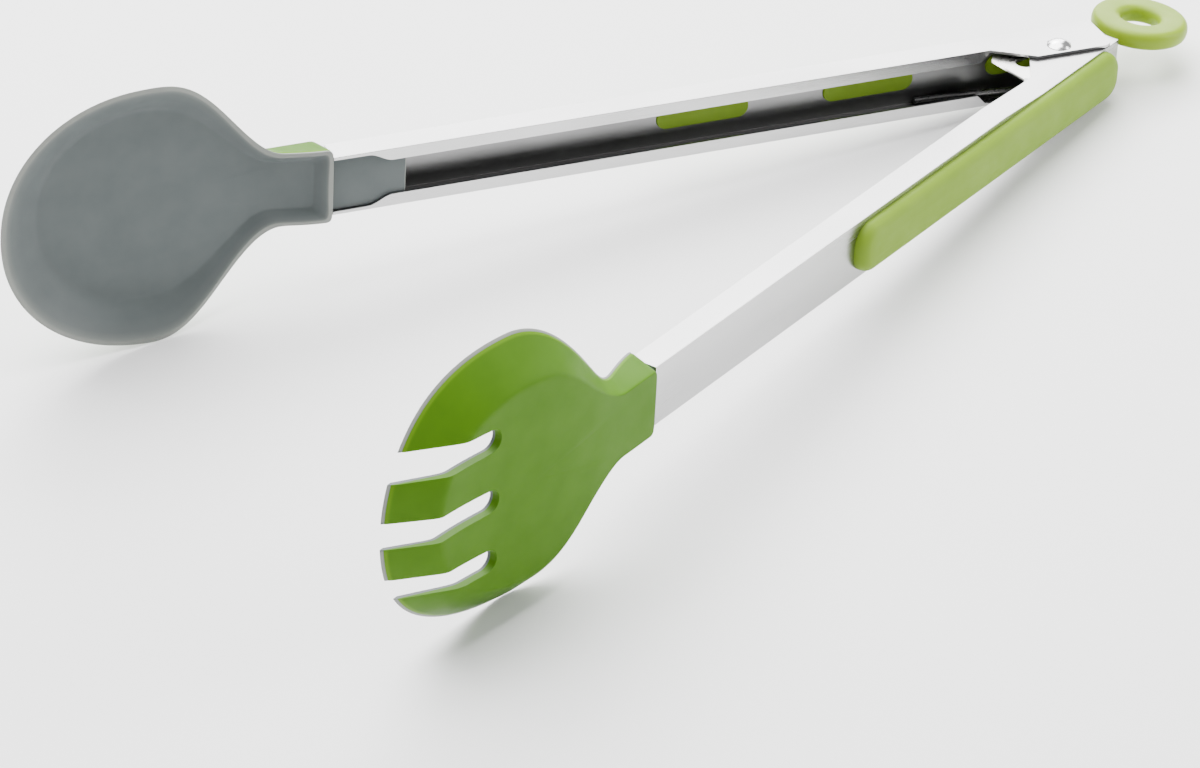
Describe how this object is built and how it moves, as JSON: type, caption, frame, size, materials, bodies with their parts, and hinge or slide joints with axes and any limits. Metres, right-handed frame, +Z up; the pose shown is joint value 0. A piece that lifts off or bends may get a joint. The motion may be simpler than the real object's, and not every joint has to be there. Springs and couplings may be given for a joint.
{
  "type": "kitchen tongs",
  "caption": "Spring loaded kitchen tongs with a spoon head and a slotted fork head, lipped steel channel arms, soft grips and a pull ring lock.",
  "frame": {"origin": "middle of the open tongs on the table they lie on, at the bottom centre of the bounding box", "axes": "+X from the heads towards the hanging ring, +Y from the fork's side to the spoon's side, +Z up from the table"},
  "size_m": [0.3427, 0.1805, 0.077],
  "materials": {
    "arm_steel": "fine lengthwise brushing, bright bends",
    "lock_steel": "stamped sheet, satin",
    "rivet_steel": "polished dome",
    "spring_steel": "drawn wire, dull",
    "head_core": "satin moulded silicone, grey",
    "head_skin": "satin moulded silicone, leaf green",
    "grip_rubber": "matt soft rubber, light green",
    "ring_plastic": "satin moulded plastic, pale green"
  },
  "bodies": {
    "spoon_arm": {"spoon_arm_channel": "arm_steel", "spoon_head_core": "head_core", "spoon_head_skin": "head_skin", "spoon_grip": "grip_rubber"},
    "fork_arm": {"fork_arm_channel": "arm_steel", "fork_head_core": "head_core", "fork_head_skin": "head_skin", "fork_grip": "grip_rubber"},
    "pivot": {"hinge_rivet": "rivet_steel", "torsion_spring": "spring_steel"},
    "lock": {"lock_plate": "lock_steel", "pull_ring": "ring_plastic"}
  },
  "joints": [
    {"name": "arm_hinge", "type": "hinge", "parent": "spoon_arm", "child": "fork_arm", "pos_m": [0.12598, -0.00306, 0.01059], "axis": [-0.1089, 0, -0.9941], "range_deg": [0, 31.4], "stiffness_Nm_per_rad": 0.6, "springref_deg": -34.38, "deforming": ["torsion_spring"]},
    {"name": "pivot_turn", "type": "hinge", "parent": "spoon_arm", "child": "pivot", "pos_m": [0.12598, -0.00306, 0.01059], "axis": [-0.1089, 0, -0.9941], "range_deg": [0, 15.75]},
    {"name": "lock_slide", "type": "slide", "parent": "pivot", "child": "lock", "axis": [0.9941, 0, -0.1089], "range_m": [0, 0.013]}
  ],
  "couplings": [
    {"joint": "pivot_turn", "follows": "arm_hinge", "ratio": 0.5},
    {"joint": "lock_slide", "follows": "arm_hinge", "m_per_rad": 0.0237}
  ]
}
